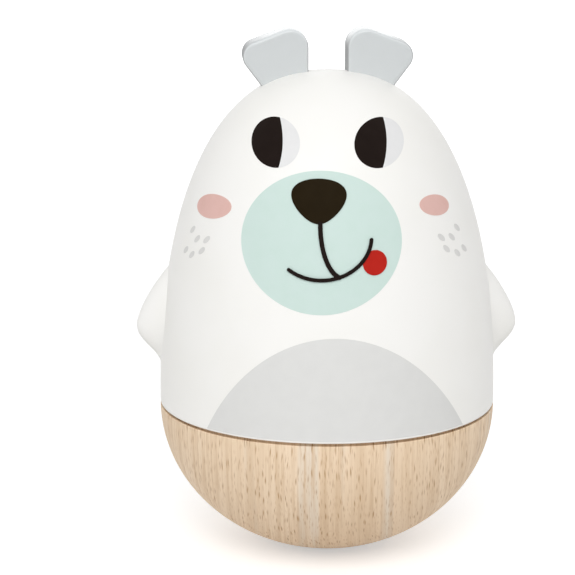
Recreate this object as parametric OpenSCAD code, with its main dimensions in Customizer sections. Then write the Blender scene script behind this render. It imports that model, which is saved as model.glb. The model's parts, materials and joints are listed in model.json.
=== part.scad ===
// Roly poly bear: a weighted wooden tumbler. A hammer inside swings as it rocks and rings four chime rods.
// The origin is the middle of the foot, +Z is up, the face looks along -Y and the ears lie along X.
// Left and right are as seen from the front.

/* [Body] */
// Diameter at the seam between the white body and the wooden base
body_d = 72; // [68:0.5:90]
// Height of the white body above the seam
body_h = 71.2; // [66:0.2:95]
// Fullness of the body's sides, where 2 is an ellipse
side_power = 2.45; // [2:0.05:3]
// Fullness of the body's crown, where 2 is an ellipse
crown_power = 2.28; // [2:0.02:3]
// Thickness of the body's side wall
body_wall = 7; // [6:0.5:8.5]
// Wood left above the body's hollow
crown_wall = 10; // [8:0.5:12]
// Wood left around the socket that takes the base's spigot
socket_wall = 5; // [4:0.5:6]
// Chamfer on both rims at the seam
rim_chamfer = 0.5; // [0.2:0.1:1]

/* [Base] */
// Depth of the bowl's ellipse below the seam
base_depth = 32; // [30:0.5:40]
// Diameter of the flat that the toy rests on
foot_d = 8; // [4:0.5:12]
// Wood left under the counterweight
floor_t = 9; // [7:0.5:11]
// Height of the spigot above the seam
spigot_h = 6; // [4:0.5:10]
// Wall of the spigot
spigot_wall = 4; // [3:0.5:5]

/* [Counterweight] */
// Width of the ledge round the steel disc, which carries the chime's deck
ledge_w = 6.9; // [5.5:0.1:9]
// Thickness of the steel disc
weight_t = 12; // [8:0.5:14]
// Chamfer on the disc's edges
weight_chamfer = 0.8; // [0.4:0.1:2]
// Thickness of the washer under the screw head
washer_t = 1; // [0.6:0.1:1.6]
// Diameter of the washer
washer_d = 12; // [10:0.5:16]
// Thread diameter of the counterweight's screw
weight_screw_d = 4; // [3:0.5:5]
// Length of that screw in the wood of the base
weight_screw_bite = 5; // [3:0.5:6]

/* [Ears] */
// Thickness of an ear
ear_t = 9; // [6:0.5:12]
// Distance of the ears' front faces ahead of the body's axis
ear_front = 1; // [0:0.5:3]
// Gap between the two ears
ear_gap = 8.2; // [6:0.2:12]
// Width of an ear
ear_w = 13.8; // [12:0.2:16]
// Height of an ear above the crown
ear_rise = 8.3; // [6:0.1:12]
// Radius of the ear's inner corner
ear_inner_r = 3.9; // [3:0.1:5]
// Radius of the ear's outer corner
ear_outer_r = 3.2; // [2.4:0.1:4]
// Drop of the outer corner below the inner one
ear_drop = 2.5; // [1:0.1:4]
// Width of the ear's root, down in the head
ear_root_w = 6; // [5:0.2:9]
// Depth of the ear's root below the crown
ear_root = 8; // [6:0.2:10]
// Rounding of the ear's edges
ear_edge = 1; // [0.5:0.1:2]

/* [Arms] */
// Distance by which an arm stands out past the seam
arm_out = 4.9; // [4:0.1:8]
// Height of the arm's fat end above the seam
arm_z = 17.4; // [15:0.2:22]
// Radius of the arm's fat end, seen from the front
arm_end_r = 7.5; // [6.5:0.1:9]
// Thickness of the arm's fat end
arm_t = 10; // [8:0.2:13]
// Distance of the middle of the shoulder inside the seam
shoulder_in = 4.2; // [3:0.1:7]
// Height of the shoulder above the fat end
shoulder_rise = 12.1; // [10:0.1:15]
// Radius of the shoulder
shoulder_r = 2; // [1.5:0.1:3]

/* [Dowels] */
// Diameter of the ear and arm dowels
dowel_d = 3; // [2:0.2:3.4]
// Length of an ear dowel, half in the ear and half in the head
ear_dowel_l = 10; // [6:0.5:11]
// Distance between the two dowels of one ear
ear_dowel_pitch = 4.2; // [3.8:0.1:4.6]
// Length of an arm dowel, half in the arm and half in the wall
arm_dowel_l = 7.6; // [5:0.2:8.4]

/* [Chime] */
// Thickness of the plywood deck
deck_t = 4; // [3:0.5:5]
// Thread diameter of the deck's screws
deck_screw_d = 3; // [2.5:0.1:3.2]
// Length of the deck's screws in the wood of the base
deck_screw_bite = 8; // [5:0.5:12]
// Number of deck screws
deck_screws_n = 4; // [4:4:8]
// Thread diameter of the bracket's and the blocks' screws
small_screw_d = 2.5; // [2:0.1:3]
// Length of the small screws in the deck
small_screw_bite = 2.6; // [2:0.1:2.8]
// Height of the hammer's pivot above the deck
pivot_h = 40; // [36:0.5:42]
// Thickness of the bracket's strip
bracket_t = 1.5; // [1:0.1:2]
// Width of the bracket's strip
bracket_w = 10; // [8:0.5:11]
// Clear width between the bracket's two uprights
bracket_span = 16; // [14:0.5:18]
// Height of the uprights above the pivot
bracket_top = 5; // [4:0.5:6]
// Distance between the bracket's two screws
bracket_screw_spacing = 8; // [7:0.5:8.5]
// Diameter of the pivot pin
pin_d = 3; // [2:0.1:3.4]
// Thickness of the clips on the pin's ends
clip_t = 0.8; // [0.5:0.1:1.2]
// Diameter of the clips
clip_d = 6; // [5:0.2:8]
// Outer diameter of the hammer's hub
hub_d = 6; // [5:0.2:8]
// Diameter of the hammer's arm
hammer_arm_d = 2.4; // [1.6:0.1:3]
// Distance from the pivot to the middle of the hammer's ball
hammer_l = 24; // [20:0.5:26]
// Diameter of the hammer's ball
ball_d = 11; // [9:0.5:13]
// Swing of the hammer to each side, in degrees
swing = 15; // [10:1:20]
// Diameter of a chime rod
rod_d = 2.5; // [2:0.1:3]
// Distance between the two rods of one side
rod_pitch = 7; // [6:0.2:8]
// Height of the longest rod above the deck
rod_h = 34; // [32:0.5:38]
// Difference in length from one rod to the next
rod_drop = 3; // [1:0.1:3.5]
// Height of a rod's block
block_h = 8; // [6:0.5:9]
// Length of a rod's block across the toy
block_l = 14; // [12:0.5:16]
// Distance from the rods to their block's screw
block_screw_reach = 5; // [4.4:0.1:6]

/* [Face print] */
// Turn of the printed face from the ears' front, in degrees
print_turn = -5; // [-10:0.5:10]
// Thickness of a printed film
print_t = 0.1; // [0.06:0.02:0.2]
// Width of an eye
eye_w = 10; // [8:0.1:12]
// Height of an eye
eye_h = 9.3; // [8:0.1:11]
// Distance between the middles of the eyes
eye_pitch = 20.9; // [18:0.1:24]
// Depth of the eyes' middles below the crown
eye_drop = 12.2; // [10:0.1:15]
// Radius of the edge between an eye's dark and light parts
eye_split_r = 14.4; // [10:0.2:20]
// Distance of that edge from the middle of the eye
eye_split = 1.5; // [0:0.1:3]
// Width of the muzzle patch
muzzle_w = 32.2; // [28:0.2:36]
// Height of the muzzle patch
muzzle_h = 27.7; // [24:0.1:32]
// Height of the eyes' lower edges above the top of the muzzle
muzzle_gap = 0.2; // [0:0.1:4]
// Shift of the muzzle to the right
muzzle_shift = -0.7; // [-3:0.1:3]
// Width of the nose
nose_w = 10.9; // [8:0.1:14]
// Height of the nose
nose_h = 8.6; // [6:0.1:11]
// Height of the nose's middle above the middle of the muzzle
nose_rise = 8.1; // [6:0.1:9]
// Shift of the nose from the middle of the muzzle
nose_shift = -0.5; // [-2:0.1:2]
// Radius of the mouth's arc
mouth_r = 10.1; // [8:0.1:11]
// Height of the arc's middle above the middle of the muzzle
mouth_rise = 3.1; // [0:0.1:4]
// Width of the mouth's line
mouth_line = 0.8; // [0.5:0.05:1.4]
// Shift of the lip line's start from the middle of the nose
lip_shift = 0.35; // [-1:0.05:1]
// Width of the line from the nose to the mouth
lip_line = 0.95; // [0.5:0.05:1.4]
// Diameter of the tongue
tongue_d = 4.9; // [3:0.1:6]
// Width of the left cheek
cheek_left_w = 11.2; // [8:0.1:13]
// Height of the left cheek
cheek_left_h = 4.8; // [3:0.1:6]
// Width of the right cheek
cheek_right_w = 9; // [8:0.1:13]
// Height of the right cheek
cheek_right_h = 4.1; // [3:0.1:6]
// Depth of the left cheek below the eyes
cheek_left_drop = 13.2; // [11:0.1:15]
// Depth of the right cheek below the eyes
cheek_right_drop = 12.7; // [11:0.1:15]
// Angle of the cheeks round the body, in degrees
cheek_turn = 49.6; // [46:0.1:54]
// Turn of both cheeks to one side, in degrees
cheek_skew = -1; // [-5:0.1:5]
// Depth of the left freckles below their cheek
freckle_left_drop = 7.9; // [7:0.1:10]
// Depth of the right freckles below their cheek
freckle_right_drop = 7.7; // [7:0.1:10]
// Angle of the freckles round the body, in degrees
freckle_turn = 54.9; // [52:0.1:60]
// Turn of all the freckles to one side, in degrees
freckle_skew = -1.6; // [-5:0.1:5]
// Width over which the freckles are spread
freckle_spread_w = 7.7; // [6:0.1:9]
// Height over which the freckles are spread
freckle_spread_h = 5.8; // [5:0.1:7]
// Length of a freckle
freckle_l = 2; // [1.4:0.1:2.4]
// Width of a freckle
freckle_w = 1.2; // [0.8:0.1:1.4]
// Width of the belly patch's ellipse
belly_w = 55; // [48:0.5:60]
// Gap between the muzzle and the belly patch
belly_gap = 4.65; // [2:0.05:8]
// Depth of the middle of the belly's ellipse below the seam
belly_drop = 9.7; // [6:0.1:12]
// Shift of the belly patch to the right
belly_shift = 2.2; // [-3:0.1:3]

/* [Hidden] */
$fn = 96;

// Clearances
glue_gap = 0.05;
fit_gap = 0.15;
screw_gap = 0.05;
pin_gap = 0.03;
hub_gap = 0.08;
side_gap = 0.4;
strike_gap = 0.4;
print_gap = 0.05;
overrun = 1;

// Steps along the outlines
body_steps = 28;
bowl_steps = 20;
line_steps = 16;
cap_steps = 6;
edge_turn = 30;

// Heights
foot_cut = base_depth * (1 - sqrt(1 - pow(foot_d / body_d, 2)));
seam_z = base_depth - foot_cut;
crown_z = seam_z + body_h;
deck_z = seam_z - deck_t;

// Body and base
body_r = body_d / 2;
hollow_r = body_r - body_wall;
hollow_h = body_h - crown_wall;
socket_r = body_r - socket_wall;
spigot_r = socket_r - fit_gap;
seat_r = spigot_r - spigot_wall;
deck_r = seat_r - fit_gap;
pocket_r = seat_r - ledge_w;
weight_r = pocket_r - fit_gap;
deck_screw_r = (pocket_r + deck_r) / 2;

// Screw proportions
head_d_share = 2;
head_h_share = 0.65;
tip_share = 1;
slot_l_share = 1.2;
slot_w_share = 0.3;
slot_depth_share = 0.35;

// Screw lengths and seats
weight_head_z = floor_t + weight_t + washer_t;
weight_screw_l = weight_t + washer_t + weight_screw_bite;
deck_screw_l = deck_t + deck_screw_bite;
bracket_screw_l = bracket_t + small_screw_bite;
block_screw_l = block_h + small_screw_bite;

// Ears and arms
ear_mid_y = ear_t / 2 - ear_front;
ear_top_z = crown_z + ear_rise;
ear_inner_x = ear_gap / 2 + ear_inner_r;
ear_outer_x = ear_gap / 2 + ear_w - ear_outer_r;
ear_dowel_xs = [ear_inner_x, ear_inner_x + ear_dowel_pitch];
arm_x = body_r + arm_out - arm_end_r;
shoulder_x = body_r - shoulder_in;
arm_mid_z = seam_z + arm_z;
shoulder_t_share = 0.5;

// Chime
pivot_z = seam_z + pivot_h;
bracket_corner = bracket_w / 4;
cheek_y = bracket_span / 2 + bracket_t;
pin_neck_share = 0.7;
pin_neck_d = pin_d * pin_neck_share;
pin_end = clip_t;
clip_y = cheek_y + fit_gap;
pin_l = 2 * (clip_y + clip_t + pin_end);
clip_slot = pin_d / 2;
hub_l = bracket_span - 2 * side_gap;
ball_seat = ball_d / 4;
strike_r = (ball_d + rod_d) / 2 + strike_gap;
rod_x = hammer_l * sin(swing) + sqrt(pow(strike_r, 2) - pow(rod_pitch / 2, 2));
rod_seat = block_h / 4;
block_inner = rod_d;
block_outer = block_screw_reach + small_screw_d * head_d_share / 2 + fit_gap;

// Print
film_pitch = print_t + print_gap;
eye_shift = 0.3;
eye_z = body_h - eye_drop;
muzzle_z = eye_z - eye_h / 2 - muzzle_gap - muzzle_h / 2;
cheek_left_z = eye_z - cheek_left_drop;
cheek_right_z = eye_z - cheek_right_drop;
freckle_left_z = cheek_left_z - freckle_left_drop;
freckle_right_z = cheek_right_z - freckle_right_drop;
belly_top = muzzle_z - muzzle_h / 2 - belly_gap;
mouth_start_turn = -129;
mouth_end_turn = -12;
lip_r_share = 1.72;
lip_r = mouth_r * lip_r_share;
lip_turn = 37;
nose_egg_share = 0.32;
nose_girth_share = 0.97;
tongue_turn = -34;
tongue_out_share = 0.86;
tongue_reach = mouth_r + tongue_d / 2 * tongue_out_share;
freckle_lean_turn = 35;
freckle_shares = [[0.35, 1], [-0.1, 0.35], [-1, 0.3], [-0.55, -0.5], [0.4, -0.75], [1, -0.4]];
belly_hem = 2 * rim_chamfer;

// Colours
white_paint = "#f6f4f0";
beech = "#d8bc98";
ear_grey = "#d3d7d8";
birch = "#e3cfa6";
steel = "#a9adb2";
brass = "#c9a84e";
print_black = "#261e1c";
print_grey = "#ececec";

// The egg outline from the seam to the crown, for one radius and height
function egg(r, h) = [
    for (i = [0 : body_steps])
        let (t = 90 * i / body_steps)
        [r * pow(cos(t), 2 / side_power), h * pow(sin(t), 2 / crown_power)]
];

// Height of the body's outside above the seam, at a distance from its axis
function egg_height(r) = body_h * pow(1 - pow(r / body_r, side_power), 1 / crown_power);

// Distance of the body's outside from its axis, at a height above the seam
function egg_reach(z) = body_r * pow(1 - pow(z / body_h, crown_power), 1 / side_power);

// The bowl's outline from the foot up to its rim chamfer
function bowl() = [
    let (start = asin(foot_d / body_d))
    for (i = [0 : bowl_steps])
        let (t = start + (90 - start) * i / bowl_steps)
        let (z = seam_z - base_depth * cos(t))
        if (z < seam_z - rim_chamfer) [body_r * sin(t), z]
];

// Points of an elliptical arc round a middle
function arc(middle, rx, ry, from, to, steps) = [
    for (i = [0 : steps])
        let (a = from + (to - from) * i / steps)
        middle + [rx * cos(a), ry * sin(a)]
];

// Direction of a path at one of its points
function heading(path, i) =
    let (d = path[min(i + 1, len(path) - 1)] - path[max(i - 1, 0)])
    atan2(d[1], d[0]);

// Outline of a line of one width along a path, with round ends
function stroke(path, w) = let (last = len(path) - 1) concat(
    [for (i = [0 : last]) path[i] + w / 2 * [cos(heading(path, i) - 90), sin(heading(path, i) - 90)]],
    arc(path[last], w / 2, w / 2, heading(path, last) - 60, heading(path, last) + 60, cap_steps),
    [for (i = [last : -1 : 0]) path[i] + w / 2 * [cos(heading(path, i) + 90), sin(heading(path, i) + 90)]],
    arc(path[0], w / 2, w / 2, heading(path, 0) + 120, heading(path, 0) + 240, cap_steps)
);

// A solid egg that stands on the seam and reaches below it by drop
module egg_solid(r, h, drop) {
    translate([0, 0, seam_z])
        rotate_extrude()
            polygon(concat([[0, -drop], [r, -drop]], egg(r, h)));
}

// The space that the body takes up, with the glue line of what is fixed to it
module body_space() {
    egg_solid(body_r + glue_gap, body_h + glue_gap, overrun);
}

// A screw whose head stands on z = 0
module screw(d, l) {
    head_h = d * head_h_share;
    slot_depth = d * slot_depth_share;
    difference() {
        rotate_extrude()
            polygon([
                [0, -l], [d / 2, -l + d * tip_share], [d / 2, 0],
                [d * head_d_share / 2, 0], [d * head_d_share / 2, head_h], [0, head_h]
            ]);
        for (a = [0, 90])
            rotate(a)
                translate([-d * slot_l_share / 2, -d * slot_w_share / 2, head_h - slot_depth])
                    cube([d * slot_l_share, d * slot_w_share, slot_depth + overrun]);
    }
}

// The hole that a screw fills below its head
module screw_hole(d, l) {
    r = d / 2 + screw_gap;
    rotate_extrude()
        polygon([[0, -l - screw_gap], [r, -l + d * tip_share], [r, overrun], [0, overrun]]);
}

// Places of the screws
module at_weight_screw() {
    translate([0, 0, weight_head_z]) children();
}

module at_deck_screws() {
    for (i = [0 : deck_screws_n - 1])
        rotate(360 * (i + 0.5) / deck_screws_n)
            translate([deck_screw_r, 0, seam_z]) children();
}

module at_bracket_screws() {
    for (side = [-1, 1])
        translate([0, side * bracket_screw_spacing / 2, seam_z + bracket_t]) children();
}

module at_block_screws() {
    for (side = [-1, 1])
        translate([side * (rod_x + block_screw_reach), 0, seam_z + block_h]) children();
}

module base_bowl() {
    color(beech)
        difference() {
            rotate_extrude()
                polygon(concat(
                    [[0, 0]],
                    bowl(),
                    [[body_r, seam_z - rim_chamfer], [body_r - rim_chamfer, seam_z]],
                    [[spigot_r, seam_z], [spigot_r, seam_z + spigot_h], [0, seam_z + spigot_h]]
                ));
            translate([0, 0, deck_z])
                cylinder(r = seat_r, h = deck_t + spigot_h + overrun);
            translate([0, 0, floor_t])
                cylinder(r = pocket_r, h = deck_z - floor_t + overrun);
            at_weight_screw() screw_hole(weight_screw_d, weight_screw_l);
            at_deck_screws() screw_hole(deck_screw_d, deck_screw_l);
        }
}

module counterweight() {
    edge_r = weight_r - weight_chamfer;
    color(steel)
        difference() {
            translate([0, 0, floor_t])
                rotate_extrude()
                    polygon([
                        [0, 0], [edge_r, 0], [weight_r, weight_chamfer],
                        [weight_r, weight_t - weight_chamfer], [edge_r, weight_t], [0, weight_t]
                    ]);
            translate([0, 0, floor_t - overrun])
                cylinder(d = weight_screw_d + 2 * fit_gap, h = weight_t + 2 * overrun);
        }
}

module weight_washer() {
    color(steel)
        translate([0, 0, floor_t + weight_t])
            difference() {
                cylinder(d = washer_d, h = washer_t);
                translate([0, 0, -overrun])
                    cylinder(d = weight_screw_d + 2 * fit_gap, h = washer_t + 2 * overrun);
            }
}

module weight_screw() {
    color(steel) at_weight_screw() screw(weight_screw_d, weight_screw_l);
}

module chime_deck() {
    color(birch)
        difference() {
            translate([0, 0, deck_z]) cylinder(r = deck_r, h = deck_t);
            at_deck_screws() screw_hole(deck_screw_d, deck_screw_l);
            at_bracket_screws() screw_hole(small_screw_d, bracket_screw_l);
            at_block_screws() screw_hole(small_screw_d, block_screw_l);
        }
}

module deck_screws() {
    color(steel) at_deck_screws() screw(deck_screw_d, deck_screw_l);
}

// A strip bent to a U, with the pivot's holes near the tops of its uprights
module chime_bracket() {
    top = pivot_h + bracket_top;
    half_w = bracket_w / 2;
    color(steel)
        translate([0, 0, seam_z])
            difference() {
                union() {
                    translate([-half_w, -cheek_y, 0]) cube([bracket_w, 2 * cheek_y, bracket_t]);
                    for (side = [0, 180])
                        rotate(side)
                            translate([0, cheek_y, 0])
                                rotate([90, 0, 0])
                                    linear_extrude(height = bracket_t)
                                        polygon([
                                            [-half_w, 0], [half_w, 0],
                                            [half_w, top - bracket_corner], [half_w - bracket_corner, top],
                                            [bracket_corner - half_w, top], [-half_w, top - bracket_corner]
                                        ]);
                }
                translate([0, 0, pivot_h])
                    rotate([90, 0, 0])
                        cylinder(d = pin_d + 2 * pin_gap, h = pin_l, center = true);
                translate([0, 0, -seam_z])
                    at_bracket_screws() screw_hole(small_screw_d, bracket_screw_l);
            }
}

module bracket_screws() {
    color(steel) at_bracket_screws() screw(small_screw_d, bracket_screw_l);
}

// The pin is turned down to a neck under each clip
module pivot_pin() {
    neck_l = clip_t + 2 * pin_gap;
    color(steel)
        translate([0, 0, pivot_z])
            rotate([90, 0, 0])
                difference() {
                    cylinder(d = pin_d, h = pin_l, center = true);
                    for (side = [-1, 1])
                        translate([0, 0, side * (clip_y + clip_t / 2)])
                            difference() {
                                cylinder(d = pin_d + overrun, h = neck_l, center = true);
                                cylinder(d = pin_neck_d, h = neck_l + overrun, center = true);
                            }
                }
}

module pin_clips() {
    color(steel)
        for (side = [-1, 1])
            translate([0, side * (clip_y + clip_t / 2), pivot_z])
                rotate([90, 0, 0])
                    difference() {
                        cylinder(d = clip_d, h = clip_t, center = true);
                        cylinder(d = pin_neck_d + 2 * pin_gap, h = clip_t + overrun, center = true);
                        translate([-clip_slot / 2, 0, -clip_t / 2 - overrun])
                            cube([clip_slot, clip_d, clip_t + 2 * overrun]);
                    }
}

module hammer_arm() {
    arm_l = hammer_l + ball_seat;
    color("#333336")
        translate([0, 0, pivot_z])
            difference() {
                union() {
                    rotate([90, 0, 0]) cylinder(d = hub_d, h = hub_l, center = true);
                    translate([0, 0, -arm_l]) cylinder(d = hammer_arm_d, h = arm_l);
                }
                rotate([90, 0, 0]) cylinder(d = pin_d + 2 * hub_gap, h = hub_l + overrun, center = true);
            }
}

module hammer_ball() {
    color(brass)
        translate([0, 0, pivot_z - hammer_l])
            difference() {
                sphere(d = ball_d);
                translate([0, 0, -ball_seat - pin_gap])
                    cylinder(d = hammer_arm_d + 2 * pin_gap, h = ball_d);
            }
}

// Each side's two rods stand in one block, which ends inside the deck's edge
module at_rods() {
    for (x_side = [0, 1], y_side = [0, 1])
        translate([(2 * x_side - 1) * rod_x, (2 * y_side - 1) * rod_pitch / 2, seam_z + rod_seat]) {
            $rod_l = rod_h - rod_seat - (2 * x_side + y_side) * rod_drop;
            children();
        }
}

module chime_blocks() {
    color(brass)
        difference() {
            intersection() {
                for (side = [0, 180])
                    rotate(side)
                        translate([rod_x - block_inner, -block_l / 2, seam_z])
                            cube([block_inner + block_outer, block_l, block_h]);
                translate([0, 0, seam_z]) cylinder(r = deck_r, h = block_h);
            }
            at_rods() cylinder(d = rod_d + 2 * pin_gap, h = block_h);
            at_block_screws() screw_hole(small_screw_d, block_screw_l);
        }
}

module block_screws() {
    color(steel) at_block_screws() screw(small_screw_d, block_screw_l);
}

module chime_rods() {
    color(steel) at_rods() cylinder(d = rod_d, h = $rod_l);
}

// The body is bored out from below, and drilled from outside for the dowels
module body_shell() {
    color(white_paint)
        difference() {
            translate([0, 0, seam_z])
                rotate_extrude()
                    polygon(concat(
                        [[0, 0], [body_r - rim_chamfer, 0], [body_r, rim_chamfer]],
                        [for (p = egg(body_r, body_h)) if (p[1] > rim_chamfer) p]
                    ));
            egg_solid(hollow_r, hollow_h, overrun);
            translate([0, 0, seam_z - overrun])
                cylinder(r = socket_r, h = spigot_h + fit_gap + overrun);
            at_ear_dowels(glue_gap);
            at_arm_dowels(glue_gap);
        }
}

// The dowels, grown by a gap all round to drill their holes
module dowel(l, gap) {
    cylinder(d = dowel_d + 2 * gap, h = l + 2 * gap, center = true);
}

module at_ear_dowels(gap) {
    for (side = [-1, 1], x = ear_dowel_xs)
        translate([side * x, ear_mid_y, seam_z + egg_height(norm([x, ear_mid_y]))])
            dowel(ear_dowel_l, gap);
}

module at_arm_dowels(gap) {
    for (side = [-1, 1])
        translate([side * egg_reach(arm_z), 0, arm_mid_z])
            rotate([0, 90, 0]) dowel(arm_dowel_l, gap);
}

// The right ear before it is cut to the head, with its edges rounded
module ear_blank() {
    hull()
        for (a = [0 : edge_turn : 90]) {
            inset = ear_edge * (1 - cos(a));
            translate([0, ear_mid_y, 0])
                rotate([90, 0, 0])
                    linear_extrude(height = ear_t - 2 * ear_edge * (1 - sin(a)), center = true)
                        ear_outline(inset);
        }
}

module ear_outline(inset) {
    translate([ear_inner_x, ear_top_z - ear_inner_r])
        circle(r = ear_inner_r - inset, $fn = 48);
    translate([ear_outer_x, ear_top_z - ear_drop - ear_outer_r])
        circle(r = ear_outer_r - inset, $fn = 48);
    translate([ear_gap / 2 + inset, crown_z - ear_root])
        square([ear_root_w - 2 * inset, ear_edge]);
}

module ear(side) {
    color(ear_grey)
        difference() {
            mirror([1 - side, 0, 0]) ear_blank();
            body_space();
            at_ear_dowels(glue_gap);
        }
}

module ear_left() {
    ear(0);
}

module ear_right() {
    ear(1);
}

module ear_dowels() {
    color(birch) at_ear_dowels(0);
}

// The right arm before it is cut to the body, a drop with its fat end down
module arm_blank() {
    hull() {
        translate([arm_x, 0, arm_mid_z])
            scale([1, arm_t / 2 / arm_end_r, 1]) sphere(r = arm_end_r, $fn = 36);
        translate([shoulder_x, 0, arm_mid_z + shoulder_rise])
            scale([1, arm_t / 2 * shoulder_t_share / shoulder_r, 1]) sphere(r = shoulder_r, $fn = 24);
    }
}

module arm(side) {
    color(white_paint)
        difference() {
            mirror([1 - side, 0, 0]) arm_blank();
            body_space();
            at_arm_dowels(glue_gap);
        }
}

module arm_left() {
    arm(0);
}

module arm_right() {
    arm(1);
}

module arm_dowels() {
    color(birch) at_arm_dowels(0);
}

// A film on the body: outlines, drawn across and up from the seam, are pressed on along one direction.
// Films that lie on others have a higher layer.
module film(layer, turn) {
    under = print_gap + layer * film_pitch;
    over = under + print_t;
    intersection() {
        difference() {
            egg_solid(body_r + over, body_h + over, overrun);
            egg_solid(body_r + under, body_h + under, 2 * overrun);
        }
        rotate(print_turn + turn)
            translate([0, 0, seam_z])
                rotate([90, 0, 0])
                    linear_extrude(height = body_d) children();
    }
}

module ellipse(w, h) {
    polygon(arc([0, 0], w / 2, h / 2, 0, 360 * (1 - 1 / (4 * line_steps)), 4 * line_steps - 1));
}

module muzzle_print() {
    color("#d1e4de")
        film(0, 0)
            translate([muzzle_shift, muzzle_z]) ellipse(muzzle_w, muzzle_h);
}

// The nose is an egg with its fat end up
module nose_print() {
    steps = 3 * line_steps;
    girth = nose_w / 2 * nose_girth_share;
    color(print_black)
        film(1, 0)
            translate([muzzle_shift + nose_shift, muzzle_z + nose_rise])
                polygon([
                    for (i = [0 : steps - 1])
                        let (a = 360 * i / steps)
                        [girth * (1 + nose_egg_share * sin(a)) * cos(a), nose_h / 2 * sin(a)]
                ]);
}

// The mouth is an arc, and the lip line curves down to it from the nose
module mouth_print() {
    mouth_middle = [muzzle_shift, muzzle_z + mouth_rise];
    lip_top = [muzzle_shift + nose_shift + lip_shift, muzzle_z + nose_rise - nose_h / 2];
    lip_middle = lip_top + [lip_r, 0];
    mouth_path = arc(mouth_middle, mouth_r, mouth_r, mouth_start_turn, mouth_end_turn, line_steps);
    lip_path = arc(lip_middle, lip_r, lip_r, 180, 180 + lip_turn, line_steps);
    color(print_black)
        film(2, 0) {
            polygon(stroke(mouth_path, mouth_line));
            polygon(stroke(lip_path, lip_line));
        }
}

// The tongue hangs outside the mouth's arc
module tongue_print() {
    color("#bb281f")
        film(1, 0)
            translate([muzzle_shift, muzzle_z + mouth_rise])
                difference() {
                    translate(tongue_reach * [cos(tongue_turn), sin(tongue_turn)]) circle(d = tongue_d);
                    circle(r = mouth_r);
                }
}

// Both eyes' outlines, and the part of each that is dark
module eyes() {
    for (side = [-1, 1])
        translate([side * eye_pitch / 2 + eye_shift, eye_z]) children();
}

module eye_dark() {
    translate([eye_split - eye_split_r, 0]) circle(r = eye_split_r);
}

module eye_dark_prints() {
    color(print_black)
        film(0, 0)
            eyes()
                intersection() {
                    ellipse(eye_w, eye_h);
                    eye_dark();
                }
}

module eye_light_prints() {
    color(print_grey)
        film(0, 0)
            eyes()
                difference() {
                    ellipse(eye_w, eye_h);
                    eye_dark();
                }
}

module cheek_prints() {
    color("#e0b9b1") {
        film(0, cheek_skew - cheek_turn)
            translate([0, cheek_left_z]) ellipse(cheek_left_w, cheek_left_h);
        film(0, cheek_skew + cheek_turn)
            translate([0, cheek_right_z]) ellipse(cheek_right_w, cheek_right_h);
    }
}

module freckle_prints() {
    half = (freckle_l - freckle_w) / 2 * [cos(90 + freckle_lean_turn), sin(90 + freckle_lean_turn)];
    color("#dedddb")
        for (side = [0, 1]) {
            middle_z = [freckle_left_z, freckle_right_z][side];
            film(0, freckle_skew + (2 * side - 1) * freckle_turn)
                mirror([1 - side, 0])
                    for (share = freckle_shares)
                        translate([
                            share[0] * freckle_spread_w / 2,
                            middle_z + share[1] * freckle_spread_h / 2
                        ])
                            polygon(stroke([-half, half], freckle_w));
        }
}

module belly_print() {
    color("#e1e1df")
        film(0, 0)
            intersection() {
                translate([belly_shift, -belly_drop]) ellipse(belly_w, 2 * (belly_top + belly_drop));
                translate([-body_r, belly_hem]) square([body_d, belly_top]);
            }
}

base_bowl();
counterweight();
weight_washer();
weight_screw();
chime_deck();
deck_screws();
chime_bracket();
bracket_screws();
pivot_pin();
pin_clips();
hammer_arm();
hammer_ball();
chime_blocks();
block_screws();
chime_rods();
body_shell();
ear_left();
ear_right();
ear_dowels();
arm_left();
arm_right();
arm_dowels();
muzzle_print();
nose_print();
mouth_print();
tongue_print();
eye_dark_prints();
eye_light_prints();
cheek_prints();
freckle_prints();
belly_print();
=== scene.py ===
# Roly poly bear: its finishes and fine shapes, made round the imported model.
# Lengths are in metres. Left and right are as seen from the front.
import json
import math

import bmesh
import bpy
from mathutils import Matrix, Vector


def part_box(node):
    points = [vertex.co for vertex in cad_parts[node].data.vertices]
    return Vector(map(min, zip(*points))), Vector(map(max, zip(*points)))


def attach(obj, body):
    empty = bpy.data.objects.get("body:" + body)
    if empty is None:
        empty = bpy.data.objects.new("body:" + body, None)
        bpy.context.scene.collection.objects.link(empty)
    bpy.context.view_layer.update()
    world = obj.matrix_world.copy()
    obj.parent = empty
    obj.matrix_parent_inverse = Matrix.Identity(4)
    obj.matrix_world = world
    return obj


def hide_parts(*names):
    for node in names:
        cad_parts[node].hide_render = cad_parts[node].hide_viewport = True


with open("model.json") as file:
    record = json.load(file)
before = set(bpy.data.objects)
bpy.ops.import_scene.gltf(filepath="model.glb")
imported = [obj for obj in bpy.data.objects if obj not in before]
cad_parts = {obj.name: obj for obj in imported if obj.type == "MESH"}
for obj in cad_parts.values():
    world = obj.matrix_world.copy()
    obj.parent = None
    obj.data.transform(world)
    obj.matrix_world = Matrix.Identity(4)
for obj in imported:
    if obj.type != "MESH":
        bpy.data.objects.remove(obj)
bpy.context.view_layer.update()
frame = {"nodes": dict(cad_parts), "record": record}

MM = 0.001
WELD = 0.001 * MM
CREASE = math.radians(35)
EASE_STEPS = 5
UPRIGHT = Matrix.Rotation(math.pi / 2, 4, "X")
WHITE = (1, 1, 1, 1)

# The photograph's frame and viewpoint
PHOTO_PIXELS = 575
FOCUS_PIXELS = 2067.7
SEAM_PIXEL = Vector((327.1, 397.6))
VIEW_TURN = math.radians(-4)
VIEW_RISE = math.radians(15.44)
VIEW_REACH = 450 * MM
CLIP_START = 10 * MM

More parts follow.
